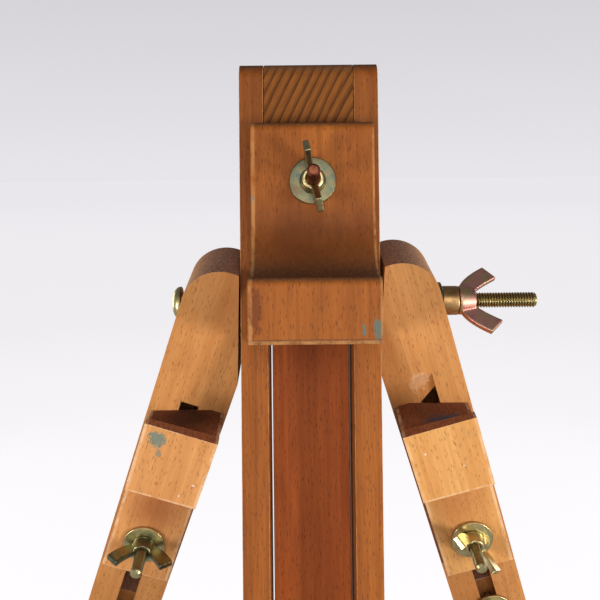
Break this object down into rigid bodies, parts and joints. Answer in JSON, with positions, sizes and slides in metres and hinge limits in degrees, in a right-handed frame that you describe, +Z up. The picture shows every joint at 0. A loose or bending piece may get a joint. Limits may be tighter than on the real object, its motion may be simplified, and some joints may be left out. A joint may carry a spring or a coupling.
{
  "type": "wooden field easel",
  "caption": "Folding wooden field easel: a centre mast with a sliding top clamp between two splayed, telescoping side legs with ledge blocks.",
  "frame": {"origin": "middle of the standing easel's bounding box, on the floor", "axes": "+Z up, -Y towards the front, +X to the right seen from the front"},
  "size_m": [0.6016, 0.3288, 0.8205],
  "materials": {
    "beech": "oiled steamed beech, satin",
    "dark_beech": "aged oiled beech, satin",
    "red_beech": "aged reddish beech, satin",
    "zinc": "yellow passivated zinc plate",
    "rubber": "matt black moulded rubber"
  },
  "bodies": {
    "mast": {"mast_rail_left": "dark_beech", "mast_rail_right": "dark_beech", "mast_top_block": "dark_beech", "mast_pivot_block": "red_beech", "mast_front_guide": "dark_beech", "mast_rear_guide": "dark_beech", "bar_lock_bush": "zinc"},
    "bar_lock": {"bar_lock_screw": "zinc"},
    "centre_leg": {"centre_leg_bar": "red_beech", "centre_leg_tip": "rubber"},
    "top_clamp": {"top_clamp_block": "dark_beech", "top_clamp_plate": "dark_beech", "top_clamp_bolt": "zinc", "top_clamp_washer": "zinc"},
    "top_clamp_nut": {"top_clamp_wing_nut": "zinc"},
    "left_tilt": {"pivot_inner_washer_left": "zinc"},
    "left_shift": {"pivot_bolt": "zinc"},
    "right_tilt": {"pivot_inner_washer_right": "zinc"},
    "right_shift": {"pivot_outer_washer": "zinc", "pivot_sleeve": "zinc"},
    "pivot_nut": {"pivot_wing_nut": "zinc"},
    "left_leg": {"left_leg_bar": "beech", "left_groove_strip": "beech", "left_guide_strap": "zinc", "left_strap_screw_a": "zinc", "left_strap_screw_b": "zinc"},
    "left_ledge": {"left_ledge_block": "beech", "left_ledge_bolt": "zinc", "left_ledge_washer": "zinc"},
    "left_ledge_nut": {"left_ledge_wing_nut": "zinc"},
    "left_extension": {"left_extension_bar": "beech", "left_foot_tip": "rubber", "left_extension_bolt": "zinc", "left_extension_washer": "zinc"},
    "left_extension_nut": {"left_extension_wing_nut": "zinc"},
    "right_leg": {"right_leg_bar": "beech", "right_groove_strip": "beech", "right_guide_strap": "zinc", "right_strap_screw_a": "zinc", "right_strap_screw_b": "zinc"},
    "right_ledge": {"right_ledge_block": "beech", "right_ledge_bolt": "zinc", "right_ledge_washer": "zinc"},
    "right_ledge_nut": {"right_ledge_wing_nut": "zinc"},
    "right_extension": {"right_extension_bar": "beech", "right_foot_tip": "rubber", "right_extension_bolt": "zinc", "right_extension_washer": "zinc"},
    "right_extension_nut": {"right_extension_wing_nut": "zinc"}
  },
  "joints": [
    {"name": "top_clamp_slide", "type": "slide", "parent": "mast", "child": "top_clamp", "axis": [0, 0.1951, 0.9808], "range_m": [-0.022, 0.02]},
    {"name": "top_clamp_nut_turn", "type": "hinge", "parent": "top_clamp", "child": "top_clamp_nut", "pos_m": [0.01568, -0.02675, 0.76497], "axis": [0, -0.9808, 0.1951], "continuous": true},
    {"name": "centre_leg_slide", "type": "slide", "parent": "mast", "child": "centre_leg", "axis": [0, -0.1951, -0.9808], "range_m": [0, 0.42]},
    {"name": "bar_lock_turn", "type": "hinge", "parent": "mast", "child": "bar_lock", "pos_m": [0.01428, -0.1535, 0.07647], "axis": [0, -0.9808, 0.1951], "continuous": true},
    {"name": "left_leg_tilt", "type": "hinge", "parent": "mast", "child": "left_tilt", "pos_m": [-0.03072, 0.00156, 0.70224], "axis": [1, 0, 0], "range_deg": [-45, 8]},
    {"name": "left_leg_shift", "type": "slide", "parent": "left_tilt", "child": "left_shift", "axis": [-1, 0, 0], "range_m": [0, 0.0105]},
    {"name": "left_leg_splay", "type": "hinge", "parent": "left_shift", "child": "left_leg", "pos_m": [-0.03072, 0.00156, 0.70224], "axis": [0, -0.9808, -0.1951], "range_deg": [0, 19.6]},
    {"name": "left_ledge_slide", "type": "slide", "parent": "left_leg", "child": "left_ledge", "axis": [-0.3355, 0.1838, -0.924], "range_m": [-0.02, 0.025]},
    {"name": "left_ledge_nut_turn", "type": "hinge", "parent": "left_ledge", "child": "left_ledge_nut", "pos_m": [-0.075, -0.01341, 0.57248], "axis": [0, -0.9808, -0.1951], "continuous": true},
    {"name": "left_extension_slide", "type": "slide", "parent": "left_leg", "child": "left_extension", "axis": [-0.3355, 0.1838, -0.924], "range_m": [-0.02, 0.4]},
    {"name": "left_extension_nut_turn", "type": "hinge", "parent": "left_extension", "child": "left_extension_nut", "pos_m": [-0.09815, 0.00908, 0.51067], "axis": [0, -0.9808, -0.1951], "continuous": true},
    {"name": "right_leg_tilt", "type": "hinge", "parent": "mast", "child": "right_tilt", "pos_m": [0.06028, 0.00156, 0.70224], "axis": [1, 0, 0], "range_deg": [-45, 8]},
    {"name": "right_leg_shift", "type": "slide", "parent": "right_tilt", "child": "right_shift", "axis": [1, 0, 0], "range_m": [0, 0.0105]},
    {"name": "right_leg_splay", "type": "hinge", "parent": "right_shift", "child": "right_leg", "pos_m": [0.06028, 0.00156, 0.70224], "axis": [0, 0.9808, 0.1951], "range_deg": [0, 17.5]},
    {"name": "right_ledge_slide", "type": "slide", "parent": "right_leg", "child": "right_ledge", "axis": [0.3007, 0.1861, -0.9354], "range_m": [-0.02, 0.025]},
    {"name": "right_ledge_nut_turn", "type": "hinge", "parent": "right_ledge", "child": "right_ledge_nut", "pos_m": [0.09913, -0.01363, 0.57359], "axis": [0, -0.9808, -0.1951], "continuous": true},
    {"name": "right_extension_slide", "type": "slide", "parent": "right_leg", "child": "right_extension", "axis": [0.3007, 0.1861, -0.9354], "range_m": [-0.02, 0.4]},
    {"name": "right_extension_nut_turn", "type": "hinge", "parent": "right_extension", "child": "right_extension_nut", "pos_m": [0.11801, 0.00786, 0.51679], "axis": [0, -0.9808, -0.1951], "continuous": true},
    {"name": "pivot_nut_turn", "type": "hinge", "parent": "right_shift", "child": "pivot_nut", "pos_m": [0.09428, 0.00156, 0.70224], "axis": [1, 0, 0], "continuous": true}
  ],
  "couplings": [
    {"joint": "left_leg_shift", "follows": "left_leg_splay", "m_per_rad": 0.029233},
    {"joint": "right_leg_shift", "follows": "right_leg_splay", "m_per_rad": 0.03274}
  ]
}
